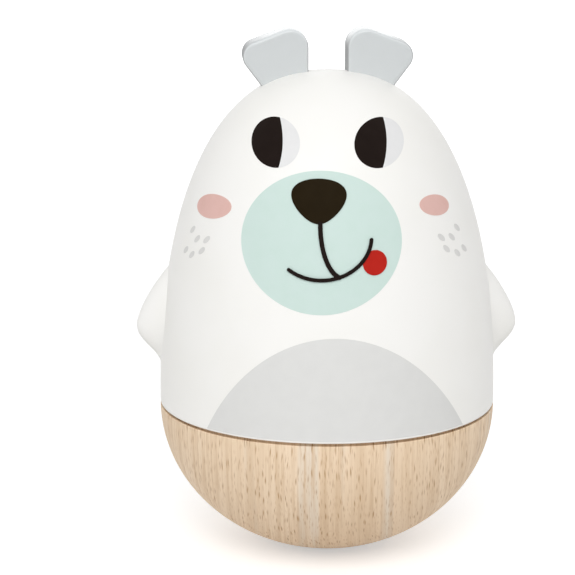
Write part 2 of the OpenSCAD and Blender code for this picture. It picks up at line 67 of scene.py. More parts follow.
# Body and bowl
body_low, body_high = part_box("body_shell")
BODY_R = body_high.x
SEAM = body_low.z
BODY_H = body_high.z - SEAM
SIDE_POWER = 2.45
CROWN_POWER = 2.28
BODY_WALL = 7 * MM
CROWN_WALL = 10 * MM
SOCKET_WALL = 5 * MM
BOWL_DEPTH = 32 * MM
FOOT_R = 4 * MM
BOWL_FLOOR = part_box("counterweight")[0].z
FIT_GAP = 0.15 * MM
SPIGOT_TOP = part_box("base_bowl")[1].z
SPIGOT_WALL = 4 * MM
DECK_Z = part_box("chime_deck")[0].z
POCKET_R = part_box("counterweight")[1].x + FIT_GAP
RIM_EASE = 0.5 * MM
SEAM_GROOVE = 0.27 * MM
GROOVE_DEPTH = 1.6 * MM
SPIN_STEPS = 192
BODY_STEPS = 150
HOLLOW_STEPS = 60
BOWL_STEPS = 80
CUTTER_STEPS = 90
CUTTER_SPIN_STEPS = 160

# Ears
EAR_INNER_R = 3.9 * MM
EAR_OUTER_R = 3.2 * MM
EAR_DROP = 2.5 * MM
EAR_LIFT = 0.4 * MM
EAR_ROOT_W = 6 * MM
EAR_ROOT = 8 * MM
EAR_EDGE = 0.85 * MM
EAR_EDGE_STEPS = 6
EAR_CORNER_STEPS = 64
EAR_FLAT_ANGLE = math.radians(0.5)
EAR_RIM_ANGLE = math.radians(60)
EAR_RIM_LEVEL = 0.05 * MM

# Arms
ARM_Z = 17.4 * MM
ARM_OUT = 5.6 * MM
ARM_UP = 12.6 * MM
ARM_DOWN = 10 * MM
ARM_SIDE = 6.2 * MM
ARM_SINK = 0.15 * MM
ARM_BACK = 2 * MM
ARM_UPPER_POWER = 1.5
ARM_LOWER_SPREAD = 1.2
ARM_LOWER_POWER = 2.6
ARM_GRID = (40, 128)
ARM_CREASE = math.radians(50)

# Prints, with heights above the seam. A layer's number is how many films can lie under it.
PRINT_TURN = math.radians(-5)
PRINT_T = 0.1 * MM
PRINT_GAP = 0.05 * MM
FILM_WELD = 0.002 * MM
DISC_WELD = 1e-5
BODY_LAYER = 0
MUZZLE_LAYER = 1
MOUTH_LAYER = 2
EYE_W = 10 * MM
EYE_H = 9.3 * MM
EYE_PITCH = 20.9 * MM
EYE_SHIFT = 0.3 * MM
EYE_Z = 59 * MM
EYE_SPLIT_R = 14.4 * MM
EYE_SPLIT = 1.5 * MM
MUZZLE = Vector((-0.7, 40.3)) * MM
MUZZLE_W = 32.2 * MM
MUZZLE_H = 27.7 * MM
NOSE = MUZZLE + Vector((-0.5, 8.1)) * MM
NOSE_W = 10.9 * MM
NOSE_H = 8.6 * MM
NOSE_EGG = 0.32
NOSE_GIRTH = 0.97
MOUTH = MUZZLE + Vector((0.05, 1.1)) * MM
MOUTH_REACH = Vector((10, 8.1)) * MM
MOUTH_LINE = 0.75 * MM
MOUTH_START = math.radians(-130)
MOUTH_END = math.radians(-3)
LIP_REACH = Vector((4.8, 10.5)) * MM
LIP = NOSE + Vector((0.35, -4.2)) * MM + Vector((LIP_REACH.x, 0))
LIP_LINE = 0.92 * MM
LIP_START = math.radians(180)
LIP_END = math.radians(259)
TONGUE = MUZZLE + Vector((10.75, -3.8)) * MM
TONGUE_W = 4.8 * MM
TONGUE_H = 4.9 * MM
CHEEKS = [
    {
        "turn": math.radians(-50.6), "z": 45.5 * MM,
        "w": 11.6 * MM, "h": 4.8 * MM, "tilt": math.radians(3),
    },
    {
        "turn": math.radians(48.4), "z": 46.2 * MM,
        "w": 8.9 * MM, "h": 4.1 * MM, "tilt": math.radians(-4.2),
    },
]
FRECKLES = [
    {"turn": math.radians(-55.7), "z": 37.5 * MM, "side": -1},
    {"turn": math.radians(54.3), "z": 38.4 * MM, "side": 1},
]
FRECKLE_SPREAD = Vector((7.7, 5.8)) * MM / 2
FRECKLE_PLACES = [
    (0.61, 0.89), (-0.07, 0.37), (-0.94, 0.49),
    (-0.71, -0.33), (0.17, -0.79), (0.94, -0.62),
]
FRECKLE_L = 2.25 * MM
FRECKLE_W = 1.17 * MM
FRECKLE_LEAN = math.radians(54)
BELLY_W = 62.1 * MM
BELLY_TOP = 21.8 * MM
BELLY_DROP = 23.4 * MM
BELLY_SHIFT = 2.25 * MM
BELLY_HEM = 0.75 * MM

# Meshes of the prints: rings and steps of a disc, or columns and rows of a sheet
MUZZLE_GRID = (28, 160)
NOSE_GRID = (12, 96)
TONGUE_GRID = (8, 64)
CHEEK_GRID = (10, 64)
FRECKLE_GRID = (4, 24)
EYE_GRID = (20, 48)
BELLY_GRID = (72, 48)
LINE_STEPS = 64
LINE_END_GRID = (3, 24)

# Studio: the light of the white surround, the lamps, and the paper under the toy
SURROUND = 0.57
LAMPS = [
    {"name": "key_box", "place": (-0.09, -1.08, 0.97), "size": 0.8, "power": 9.5},
    {"name": "side_box", "place": (-1.2, -0.9, 0.5), "size": 1.0, "power": 0.9},
    {"name": "back_box", "place": (0.2, 1.3, 0.65), "size": 1.2, "power": 2.6},
]
LAMP_AIM = Vector((0, 0, SEAM + BODY_H / 3))
PAPER_R = 6
PAPER_STEPS = 96
PAPER_NEAR = 0.1
PAPER_FAR = 0.6
PAPER_NEAR_WHITE = (0.8, 0.8, 0.8, 1)
PAPER_FAR_WHITE = (0.5, 0.5, 0.5, 1)
PAPER_GLOW = 0.45

# Finishes: how strongly they mirror, the orange peel of sprayed and printed ones, and the wood's flecks
IOR = 1.45
PLASTIC_IOR = 1.46
SHEEN = 0.3
EAR_SHEEN = 0.2
INK_SHEEN = 0.05
PEEL_SCALE = (0.9, 0.9, 0.9)
PEEL_DEPTH = 0.03 * MM
FLECK_SWAY = 2.5
FLECK_CHANCE = 0.12


def srgb(red, green, blue):
    """A colour as it is written on a colour card, in the renderer's own numbers."""
    shares = [value / 255 for value in (red, green, blue)]
    return (*[s / 12.92 if s <= 0.04045 else ((s + 0.055) / 1.055) ** 2.4 for s in shares], 1)


# Colours of the finishes
LACQUER = srgb(250, 249, 246)
LACQUER_SHADE = srgb(248, 247, 243)
EAR_FACE = srgb(207, 211, 212)
EAR_FACE_SHADE = srgb(204, 208, 209)
# Painted highlight: the ears' rounded edges and tops are drawn paler, where the light falls on them.
EAR_PAINTED_HIGHLIGHT = srgb(224, 228, 229)
# Painted shade: the ears' sides down by the crown are drawn darker.
EAR_PAINTED_SHADE = srgb(186, 188, 189)
BEECH_PALE = srgb(246, 223, 195)
BEECH_WARM = srgb(240, 215, 185)
BEECH_GREY = srgb(236, 223, 206)
BEECH_FIBRE = srgb(220, 191, 157)
BEECH_STREAK = srgb(216, 185, 149)
BEECH_SHORT_FLECK = srgb(204, 167, 127)
BEECH_LONG_FLECK = srgb(184, 144, 103)
BIRCH = srgb(230, 210, 172)
BIRCH_GRAIN = srgb(203, 176, 132)
PLASTIC = srgb(48, 48, 51)
PLASTIC_SHADE = srgb(58, 58, 61)


class Wire:
    """A socket of a finish, on which sums can be written."""

    def __init__(self, finish, socket):
        self.finish = finish
        self.socket = socket

    def __add__(self, other):
        return self.finish.math("ADD", self, other)

    def __radd__(self, other):
        return self.finish.math("ADD", other, self)

    def __sub__(self, other):
        return self.finish.math("SUBTRACT", self, other)

    def __rsub__(self, other):
        return self.finish.math("SUBTRACT", other, self)

    def __mul__(self, other):
        return self.finish.math("MULTIPLY", self, other)

    def __rmul__(self, other):
        return self.finish.math("MULTIPLY", other, self)


class Finish:
    """A material or the surround, laid node by node on its shader."""

    def __init__(self, look, **shader):
        look.use_nodes = True
        self.look = look
        self.tree = look.node_tree
        self.shader = self.tree.nodes.get("Principled BSDF") or self.tree.nodes["Background"]
        self.set(**shader)

    def set(self, **shader):
        """Fills the shader's sockets, which are named by its own words."""
        for key, value in shader.items():
            self.feed(self.shader.inputs[key.replace("_", " ").title().replace("Ior", "IOR")], value)

    def feed(self, socket, value):
        """Gives a socket a wire or a plain value."""
        if isinstance(value, Wire):
            self.tree.links.new(value.socket, socket)
        else:
            socket.default_value = value

    def node(self, kind, settings=None, sockets=None, out=0):
        """Adds a node and returns the wire from one of its outputs."""
        made = self.tree.nodes.new(kind)
        for key, value in (settings or {}).items():
            setattr(made, key, value)
        for key, value in (sockets or {}).items():
            self.feed(made.inputs[key], value)
        return Wire(self, made.outputs[out])

    def math(self, operation, left, right=0.0):
        """A sum of two wires or values."""
        return self.node("ShaderNodeMath", {"operation": operation}, {0: left, 1: right})

    def step(self, value, low, high):
        """0 below low and 1 above high, with a soft step between."""
        return self.node(
            "ShaderNodeMapRange", {"interpolation_type": "SMOOTHSTEP"},
            {"Value": value, "From Min": low, "From Max": high},
        )

    def place(self, scale, grain=False):
        """Object coordinates, or coordinates along the grain, in millimetres and stretched by scale."""
        if grain:
            spot = self.node("ShaderNodeAttribute", {"attribute_name": "grain"}, out="Vector")
        else:
            spot = self.node("ShaderNodeTexCoord", out="Object")
        return self.node("ShaderNodeMapping", {}, {"Vector": spot, "Scale": [s / MM for s in scale]})

    def noise(self, where, detail=3.0, roughness=0.5):
        """A cloudy pattern between 0 and 1."""
        return self.node(
            "ShaderNodeTexNoise", {},
            {"Vector": where, "Scale": 1.0, "Detail": detail, "Roughness": roughness},
        )

    def mix(self, share, first, second):
        """A colour between two, by a share."""
        return self.node(
            "ShaderNodeMix", {"data_type": "RGBA"}, {0: share, 6: first, 7: second}, out=2
        )

    def bump(self, height, distance, strength):
        """Roughens the surface by a pattern as deep as a distance."""
        normal = self.node(
            "ShaderNodeBump", {}, {"Height": height, "Distance": distance, "Strength": strength}
        )
        self.set(normal=normal)

    def seen(self):
        """1 where the white itself is seen, also in gloss and through glass, and 0 for its light."""
        share = self.node("ShaderNodeLightPath", out="Is Camera Ray")
        for ray in ("Is Glossy Ray", "Is Transmission Ray"):
            share = self.math("MAXIMUM", share, self.node("ShaderNodeLightPath", out=ray))
        return share


def material(name, **shader):
    """The finish of a new material."""
    return Finish(bpy.data.materials.new(name), **shader)


def spray(made, matt=0.0):
    """Satin lacquer sprayed on sanded wood: faint orange peel and a trace of the grain under it."""
    peel = made.noise(made.place(PEEL_SCALE), 2.0)
    grain = made.noise(made.place((1.6, 1.6, 0.05)), 3.0)
    made.set(roughness=0.42 + 0.10 * peel + matt)
    made.bump(peel * 0.7 + grain * 0.3, PEEL_DEPTH, 0.35)


def white_lacquer():
    """White spray lacquer, a shade yellower in clouds."""
    made = material("white_lacquer", ior=IOR, specular_ior_level=SHEEN)
    spray(made)
    cloud = made.noise(made.place((0.06, 0.06, 0.06)), 2.0)
    made.set(base_color=made.mix(made.step(cloud, 0.35, 0.7), LACQUER, LACQUER_SHADE))
    return made.look


def ear_lacquer():
    """Grey faces, a paler colour over the edges and the top as a painted highlight, and the sides by the
    root darkened as painted shade, matt and without the coat.
    """
    made = material("ear_grey", ior=IOR, specular_ior_level=EAR_SHEEN, coat_roughness=0.2)
    low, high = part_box("ear_right")
    half = (high.y - low.y) / 2
    spot = made.node("ShaderNodeTexCoord", out="Object")
    y = made.node("ShaderNodeSeparateXYZ", {}, {0: spot}, out="Y")
    z = made.node("ShaderNodeSeparateXYZ", {}, {0: spot}, out="Z")
    off_middle = made.math("ABSOLUTE", y - (low.y + half))
    # edge marks the rounded edges and the sides, which are drawn paler as a painted highlight.
    edge = 1 - made.step(off_middle, half - 0.25 * EAR_EDGE, half)
    # side and root together pick the sides low by the crown. These are drawn darker as painted shade,
    # and are also made matt and left without the coat.
    side = 1 - made.step(off_middle, half - 0.5 * EAR_EDGE, half - 0.15 * EAR_EDGE)
    root = 1 - made.step(z, high.z - 4 * MM, high.z - 0.5 * MM)
    matt_and_painted_shade = side * root
    spray(made, 0.4 * matt_and_painted_shade)
    cloud = made.noise(made.place((0.3, 0.3, 0.3)), 2.0)
    colour = made.mix(cloud, EAR_FACE, EAR_FACE_SHADE)
    # Painted highlight on the edges and the top.
    colour = made.mix(edge * 0.9, colour, EAR_PAINTED_HIGHLIGHT)
    # Painted shade on the sides by the root.
    colour = made.mix(matt_and_painted_shade, colour, EAR_PAINTED_SHADE)
    made.set(base_color=colour)
    made.set(coat_weight=0.6 - 0.6 * matt_and_painted_shade)
    return made.look


def flecks(made, spacing, low, high):
    """Short dark dashes along the swaying grain, one to a cell of the given width and length."""
    spot = made.place((1, 1, 1), grain=True)
    sway = made.noise(made.place((0.12, 0.12, 0.07), grain=True), 2.0)
    fade = made.noise(made.place((0.9, 0.9, 0.12), grain=True), 2.0)
    across, ahead, along = [made.node("ShaderNodeSeparateXYZ", {}, {0: spot}, out=i) for i in range(3)]
    round_about = made.math("ARCTAN2", across, 0 - ahead) * (BODY_R / MM / spacing[0])
    swayed = round_about + FLECK_SWAY * sway
    flat = made.node("ShaderNodeCombineXYZ", {}, {0: swayed, 1: along * (1 / spacing[1])})
    cells = {"voronoi_dimensions": "2D"}
    distance = made.node("ShaderNodeTexVoronoi", cells, {"Vector": flat, "Scale": 1.0}, out="Distance")
    chance = made.node("ShaderNodeTexVoronoi", cells, {"Vector": flat, "Scale": 1.0}, out="Color")
    return (1 - made.step(distance + FLECK_CHANCE * chance, low, high)) * made.step(fade, 0.25, 0.6)


def beech():
    """Sanded beech, with its grain upright: pale and grey bands, fine streaks and short dark flecks."""
    made = material("beech", ior=IOR, specular_ior_level=SHEEN)
    tone = made.noise(made.place((0.07, 0.07, 0.02), grain=True), 2.0)
    band = made.noise(made.place((0.16, 0.16, 0.004), grain=True), 2.0)
    figure = made.noise(made.place((0.3, 0.3, 0.012), grain=True), 2.0)
    fibre = made.noise(made.place((0.6, 0.6, 0.018), grain=True), 3.0, 0.6)
    streak = made.noise(made.place((1.8, 1.8, 0.04), grain=True), 4.0, 0.6)
    long_fleck = flecks(made, (0.8, 6.4), 0.06, 0.3) * made.step(figure, 0.28, 0.52)
    short_fleck = flecks(made, (0.45, 3.8), 0.06, 0.32)
    colour = made.mix(made.step(tone, 0.3, 0.7), BEECH_PALE, BEECH_WARM)
    colour = made.mix(made.step(band, 0.55, 0.64) * 0.75, colour, BEECH_GREY)
    colour = made.mix(made.step(fibre, 0.4, 0.68) * 0.6, colour, BEECH_FIBRE)
    colour = made.mix(made.step(streak, 0.45, 0.72) * 0.65, colour, BEECH_STREAK)
    colour = made.mix(short_fleck * 0.6, colour, BEECH_SHORT_FLECK)
    colour = made.mix(long_fleck * 0.95, colour, BEECH_LONG_FLECK)
    made.set(base_color=colour)
    made.set(roughness=0.52 + 0.12 * streak)
    made.bump(streak * 0.5 - long_fleck * 0.6, 0.05 * MM, 0.4)
    return made.look


def ink(name, colour, shade):
    """A printed film: even colour with the faint mottle of the print."""
    made = material(name, ior=IOR, specular_ior_level=INK_SHEEN)
    mottle = made.noise(made.place((0.35, 0.35, 0.35)), 3.0)
    peel = made.noise(made.place(PEEL_SCALE), 2.0)
    made.set(base_color=made.mix(made.step(mottle, 0.3, 0.75), colour, shade))
    made.set(roughness=0.50 + 0.10 * peel)
    made.bump(peel, PEEL_DEPTH, 0.25)
    return made.look


def metal(name, colour, shade, roughness, stretch):
    """Turned or drawn metal, with marks stretched along the piece and a cloudy tarnish."""
    made = material(name, metallic=1.0)
    marks = made.noise(made.place(stretch), 4.0)
    cloud = made.noise(made.place((0.15, 0.15, 0.15)), 3.0)
    made.set(base_color=made.mix(made.step(cloud, 0.35, 0.7), colour, shade))
    made.set(roughness=roughness + 0.15 * marks)
    made.bump(marks, 0.02 * MM, 0.3)
    return made.look


def birch(name, plies):
    """Plain birch, in layers of crossed grain where it is plywood."""
    made = material(name, ior=IOR, specular_ior_level=SHEEN)
    along = made.noise(made.place((0.05, 1.1, 1.1)), 4.0)
    across = made.noise(made.place((1.1, 0.05, 1.1)), 4.0)
    grain = along
    if plies:
        layer = made.node(
            "ShaderNodeTexWave", {"bands_direction": "Z"},
            {"Vector": made.place((0, 0, 0.16)), "Scale": 1.0},
        )
        turned = made.step(layer, 0.45, 0.55)
        grain = along * turned + across * (1 - turned)
    made.set(base_color=made.mix(made.step(grain, 0.3, 0.75), BIRCH, BIRCH_GRAIN))
    made.set(roughness=0.55 + 0.15 * grain)
    made.bump(grain, 0.05 * MM, 0.3)
    return made.look


def moulded_plastic():
    """Dark plastic with the fine grain of its mould."""
    made = material("hammer_plastic", ior=PLASTIC_IOR)
    spark = made.noise(made.place((5, 5, 5)), 2.0)
    cloud = made.noise(made.place((0.2, 0.2, 0.2)), 2.0)
    made.set(base_color=made.mix(cloud, PLASTIC, PLASTIC_SHADE))
    made.set(roughness=0.45 + 0.2 * spark)
    made.bump(spark, 0.03 * MM, 0.4)
    return made.look


FINISHES = {
    "white_lacquer": white_lacquer(),
    "ear_grey": ear_lacquer(),
    "beech": beech(),
    "print_mint": ink("print_mint", srgb(209, 228, 222), srgb(207, 227, 220)),
    "print_black": ink("print_black", srgb(29, 21, 18), srgb(32, 24, 21)),
    "print_brown_black": ink("print_brown_black", srgb(32, 23, 7), srgb(35, 26, 10)),
    "print_red": ink("print_red", srgb(188, 41, 32), srgb(182, 37, 29)),
    "print_pale_grey": ink("print_pale_grey", srgb(234, 234, 234), srgb(231, 231, 231)),
    "print_pink": ink("print_pink", srgb(229, 190, 182), srgb(226, 186, 177)),
    "print_freckle_grey": ink("print_freckle_grey", srgb(226, 225, 223), srgb(222, 221, 219)),
    "print_belly_grey": ink("print_belly_grey", srgb(226, 226, 224), srgb(224, 224, 222)),
    "raw_steel": metal("raw_steel", srgb(128, 130, 134), srgb(104, 105, 108), 0.35, (0.3, 0.3, 3)),
    "bright_steel": metal("bright_steel", srgb(190, 194, 199), srgb(168, 172, 178), 0.22, (3, 3, 0.3)),
    "chime_brass": metal("chime_brass", srgb(214, 182, 104), srgb(190, 154, 80), 0.25, (0.4, 3, 3)),
    "hammer_plastic": moulded_plastic(),
    "plywood": birch("plywood", True),
    "dowel_wood": birch("dowel_wood", False),
}


def add_object(name, data):
    """Puts a mesh, a lamp or a camera in the scene."""
    made = bpy.data.objects.new(name, data)
    bpy.context.scene.collection.objects.link(made)
    return made


def solid(name, mesh):
    """An object of a mesh, with its doubled points welded and its faces turned outwards."""
    bmesh.ops.remove_doubles(mesh, verts=mesh.verts, dist=WELD)
    bmesh.ops.recalc_face_normals(mesh, faces=mesh.faces)
    data = bpy.data.meshes.new(name)
    mesh.to_mesh(data)
    mesh.free()
    return add_object(name, data)


def smooth(data, crease):
    """Shades a mesh smooth, apart from creases sharper than an angle."""
    data.shade_smooth()
    data.set_sharp_from_angle(angle=crease)


def piece(name, mesh, slot, node, crease=CREASE):
    """Makes an object of a mesh, in its finish, in the place of a CAD node."""
    made = solid(name, mesh)
    smooth(made.data, crease)
    made.data.materials.append(FINISHES[slot])
    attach(made, "toy")
    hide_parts(node)
    return made


def egg_reach(z):
    """Distance of the body's outside from its axis, at a height above the seam."""
    return BODY_R * max(0, 1 - (max(0, z) / BODY_H) ** CROWN_POWER) ** (1 / SIDE_POWER)


def egg_line(r, h, steps):
    """The egg outline from its crown down to the seam."""
    line = []
    for i in range(steps + 1):
        t = math.pi / 2 * (1 - i / steps)
        line.append((r * math.cos(t) ** (2 / SIDE_POWER), SEAM + h * math.sin(t) ** (2 / CROWN_POWER)))
    line[0] = (0, SEAM + h)
    return line


def eased(corners, steps=EASE_STEPS):
    """A line through corners (r, z, ease), each rounded over the length of its ease."""
    line = []
    for i, (r, z, ease) in enumerate(corners):
        corner = Vector((r, z))
        if not ease:
            line.append(corner)
            continue
        before = Vector(corners[i - 1][:2])
        after = Vector(corners[i + 1][:2])
        start = corner + (before - corner).normalized() * ease
        end = corner + (after - corner).normalized() * ease
        for k in range(steps + 1):
            t = k / steps
            line.append(start * (1 - t) ** 2 + corner * 2 * t * (1 - t) + end * t**2)
    return [tuple(point) for point in line]


def lathe(points, axis, steps):
    """A mesh made by turning a line of points once round an axis through the origin."""
    mesh = bmesh.new()
    line = [mesh.verts.new(point) for point in points]
    edges = [mesh.edges.new(pair) for pair in zip(line, line[1:])]
    bmesh.ops.spin(
        mesh, geom=line + edges, cent=(0, 0, 0), axis=axis, angle=math.tau, steps=steps, use_merge=True
    )
    return mesh


def spun(profile, steps=SPIN_STEPS):
    """A mesh turned from a profile of distances from the upright axis and heights."""
    return lathe([(r, 0, z) for r, z in profile], (0, 0, 1), steps)


def disc(rings, steps):
    """A flat disc of radius 1, facing forwards, with its middle at the origin."""
    mesh = lathe([(i / rings, 0, 0) for i in range(rings + 1)], (0, 1, 0), steps)
    bmesh.ops.remove_doubles(mesh, verts=mesh.verts, dist=DISC_WELD)
    return mesh


def body_profile():
    """The body from its crown down the outside, round the rim and the socket, and up the hollow."""
    socket_r = BODY_R - SOCKET_WALL
    hollow_r = BODY_R - BODY_WALL
    shelf_z = SPIGOT_TOP + FIT_GAP
    outside = [(r, z) for r, z in egg_line(BODY_R, BODY_H, BODY_STEPS) if z > SEAM + 2 * RIM_EASE]
    rim = eased([
        (*outside[-1], 0),
        (BODY_R, SEAM + SEAM_GROOVE, RIM_EASE * 0.8),
        (BODY_R - GROOVE_DEPTH, SEAM + SEAM_GROOVE, 0),
        (BODY_R - GROOVE_DEPTH, SEAM, 0),
        (socket_r, SEAM, 0),
        (socket_r, shelf_z, 0),
    ])
    hollow = egg_line(hollow_r, BODY_H - CROWN_WALL, HOLLOW_STEPS)
    inside = [(r, z) for r, z in hollow if z > shelf_z]
    shelf = [(hollow_r, shelf_z)]
    return outside + rim[1:] + shelf + inside[::-1]


def bowl_profile():
    """The bowl from its foot up the outside, over the rim and the spigot, and down the pocket."""
    spigot_r = BODY_R - SOCKET_WALL - FIT_GAP
    seat_r = spigot_r - SPIGOT_WALL
    start = math.asin(FOOT_R / BODY_R)
    outside = []
    for i in range(BOWL_STEPS + 1):
        t = start + (math.pi / 2 - start) * i / BOWL_STEPS
        z = SEAM - BOWL_DEPTH * math.cos(t)
        if z < SEAM - 2 * RIM_EASE:
            outside.append((BODY_R * math.sin(t), z))
    rim = eased([
        (*outside[-1], 0),
        (BODY_R, SEAM - SEAM_GROOVE, RIM_EASE / 3),
        (BODY_R - RIM_EASE / 2, SEAM - SEAM_GROOVE, 0),
        (BODY_R - GROOVE_DEPTH, SEAM - SEAM_GROOVE - RIM_EASE, 0),
        (BODY_R - GROOVE_DEPTH, SEAM, 0),
        (spigot_r, SEAM, 0),
        (spigot_r, SPIGOT_TOP, RIM_EASE),
        (seat_r, SPIGOT_TOP, RIM_EASE),
        (seat_r, DECK_Z, 0),
        (POCKET_R, DECK_Z, 0),
        (POCKET_R, BOWL_FLOOR, 0),
        (0, BOWL_FLOOR, 0),
    ])
    return [(0, 0)] + outside + rim[1:]


def lay_grain(bowl):
    """Runs the grain down the bowl: straight in front and behind, bent to the outline at the sides."""
    grain = bowl.data.attributes.new("grain", "FLOAT_VECTOR", "POINT")
    for vert in bowl.data.vertices:
        spot = Matrix.Rotation(-PRINT_TURN, 3, "Z") @ vert.co
        around = math.atan2(spot.x, -spot.y)
        wide = abs(math.sin(around))
        off_front = math.asin(min(1, wide)) / (math.pi / 2)
        bend = min(1, max(0, 2 * off_front - 1))
        straight = 1 - bend * bend * (3 - 2 * bend)
        share = min(1, math.hypot(spot.x, spot.y) / BODY_R)
        folded = math.copysign(math.asin(min(1, wide * share**straight)), around)
        turn = folded if abs(around) < math.pi / 2 else math.copysign(math.pi, around) - folded
        drop = min(1, max(0, (SEAM - vert.co.z) / BOWL_DEPTH))
        down = BODY_R * math.asin(drop) if vert.co.z < SEAM else SEAM - vert.co.z
        grain.data[vert.index].vector = (BODY_R * math.sin(turn), -BODY_R * math.cos(turn), down)


def ear(side, node):
    """A flat ear with rounded edges, cut to the crown. Its outline wraps two corners and a root."""
    low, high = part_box("ear_right")
    crown = SEAM + BODY_H
    depth = high.y - low.y
    mesh = bmesh.new()
    middle_y = (low.y + high.y) / 2
    corners = [
        (low.x + EAR_INNER_R, high.z + EAR_LIFT - EAR_INNER_R, EAR_INNER_R),
        (high.x - EAR_OUTER_R, high.z + EAR_LIFT - EAR_DROP - EAR_OUTER_R, EAR_OUTER_R),
    ]
    for x, z, r in corners:
        bmesh.ops.create_cone(
            mesh, cap_ends=True, segments=EAR_CORNER_STEPS, radius1=r, radius2=r, depth=depth,
            matrix=Matrix.Translation((x, middle_y, z)) @ UPRIGHT,
        )
    root = Matrix.Translation((low.x + EAR_ROOT_W / 2, middle_y, crown - EAR_ROOT))
    bmesh.ops.create_cube(mesh, size=1, matrix=root @ Matrix.Diagonal((EAR_ROOT_W, depth, EAR_EDGE, 1)))
    hull = bmesh.ops.convex_hull(mesh, input=mesh.verts)
    kept = set(hull["geom"])
    bmesh.ops.delete(mesh, geom=[v for v in mesh.verts if v not in kept], context="VERTS")
    bmesh.ops.delete(mesh, geom=[f for f in mesh.faces if f not in kept], context="FACES_ONLY")
    bmesh.ops.dissolve_limit(mesh, angle_limit=EAR_FLAT_ANGLE, verts=mesh.verts, edges=mesh.edges)
    sharp = [e for e in mesh.edges if len(e.link_faces) == 2 and e.calc_face_angle() > EAR_RIM_ANGLE]
    rims = [e for e in sharp if abs(e.verts[0].co.y - e.verts[1].co.y) < EAR_RIM_LEVEL]
    bmesh.ops.bevel(
        mesh, geom=rims, offset=EAR_EDGE, segments=EAR_EDGE_STEPS, profile=0.5,
        affect="EDGES", material=-1,
    )
    bmesh.ops.scale(mesh, vec=(side, 1, 1), verts=mesh.verts)
    cut_to_body(piece(node + "_rounded", mesh, "ear_grey", node))


def cut_to_body(made):
    """Takes the body's shape out of a piece that is glued to it."""
    outline = egg_line(BODY_R, BODY_H, CUTTER_STEPS) + [(0, SEAM)]
    cutter = solid("cutter", spun(outline, CUTTER_SPIN_STEPS))
    cut = made.modifiers.new("cut", "BOOLEAN")
    cut.operation = "DIFFERENCE"
    cut.solver = "EXACT"
    cut.object = cutter
    result = made.evaluated_get(bpy.context.evaluated_depsgraph_get())
    data = bpy.data.meshes.new_from_object(result)
    made.modifiers.clear()
    made.data = data
    smooth(data, CREASE)
    bpy.data.objects.remove(cutter)


def arm(side, node):
    """A drop-shaped swelling on the body's side, which runs into the body in a hollow curve below."""
    mesh = disc(*ARM_GRID)
    for vert in mesh.verts:
        share = min(1, math.hypot(vert.co.x, vert.co.z))
        turn = math.atan2(vert.co.x, vert.co.z)
        up = (1 + math.cos(turn)) / 2
        tall = ARM_UP if math.cos(turn) > 0 else ARM_DOWN
        reach = 1 / math.hypot(math.cos(turn) / tall, math.sin(turn) / ARM_SIDE)
        lower = math.cos(math.pi / 2 * share**ARM_LOWER_SPREAD) ** ARM_LOWER_POWER
        upper = 1 - share**ARM_UPPER_POWER
        swell = ARM_OUT * (up * upper + (1 - up) * lower) - ARM_SINK
        z = ARM_Z + share * reach * math.cos(turn)
        y = share * reach * math.sin(turn)
        skin = math.sqrt(egg_reach(z) ** 2 - y**2)
        vert.co = (skin + swell, y, SEAM + z)
    bmesh.ops.scale(mesh, vec=(side, 1, 1), verts=mesh.verts)
    edge = [e for e in mesh.edges if e.is_boundary]
    inner = bmesh.ops.extrude_edge_only(mesh, edges=edge)["geom"]
    ring = [v for v in inner if isinstance(v, bmesh.types.BMVert)]
    bmesh.ops.translate(mesh, vec=(-side * ARM_BACK, 0, 0), verts=ring)
    bmesh.ops.contextual_create(mesh, geom=[e for e in mesh.edges if e.is_boundary])
    piece(node + "_shaped", mesh, "white_lacquer", node, crease=ARM_CREASE)


def press_on(mesh, layer, turn, outline):
    """Presses a flat mesh on the body along one direction and gives it a film's thickness.

    outline says where a point of the mesh goes, across and up from the seam."""
    lift = PRINT_GAP + layer * (PRINT_T + PRINT_GAP)
    for vert in mesh.verts:
        x, z = outline(vert.co.x, vert.co.z)
        reach = egg_reach(z) + lift
        vert.co = (x, -math.sqrt(max(0, reach**2 - x**2)), SEAM + z)
    bmesh.ops.remove_doubles(mesh, verts=mesh.verts, dist=FILM_WELD)
    bmesh.ops.recalc_face_normals(mesh, faces=mesh.faces)
    inward = sum(face.normal.y for face in mesh.faces) > 0
    if inward:
        bmesh.ops.reverse_faces(mesh, faces=mesh.faces)
    bmesh.ops.solidify(mesh, geom=mesh.faces[:], thickness=PRINT_T)
    turned = Matrix.Rotation(PRINT_TURN + turn, 3, "Z")
    bmesh.ops.rotate(mesh, cent=(0, 0, 0), matrix=turned, verts=mesh.verts)


def ellipse(middle, w, h, tilt=0.0):
    """Where a disc's points go to make an ellipse."""

    def outline(x, z):
        wide = x * w / 2
        tall = z * h / 2
        return (
            middle[0] + wide * math.cos(tilt) - tall * math.sin(tilt),
            middle[1] + wide * math.sin(tilt) + tall * math.cos(tilt),
        )

    return outline


def join(meshes):
    """One mesh of several."""
    whole = bmesh.new()
    for mesh in meshes:
        data = bpy.data.meshes.new("part")
        mesh.to_mesh(data)
        mesh.free()
        whole.from_mesh(data)
        bpy.data.meshes.remove(data)
    return whole


def film(node, mesh, slot):
    """A print's object, of a mesh that is pressed on already."""
    piece(node.replace("print", "film"), mesh, slot, node)


def print_discs(node, slot, layer, spots, grid):
    """Prints made of discs, each a turn round the body and an outline."""
    meshes = []
    for turn, outline in spots:
        mesh = disc(*grid)
        press_on(mesh, layer, turn, outline)
        meshes.append(mesh)
    film(node, join(meshes), slot)


def nose_outline(x, z):
    """An egg with its fat end up."""
    return (NOSE.x + NOSE_W / 2 * NOSE_GIRTH * (1 + NOSE_EGG * z) * x, NOSE.y + NOSE_H / 2 * z)


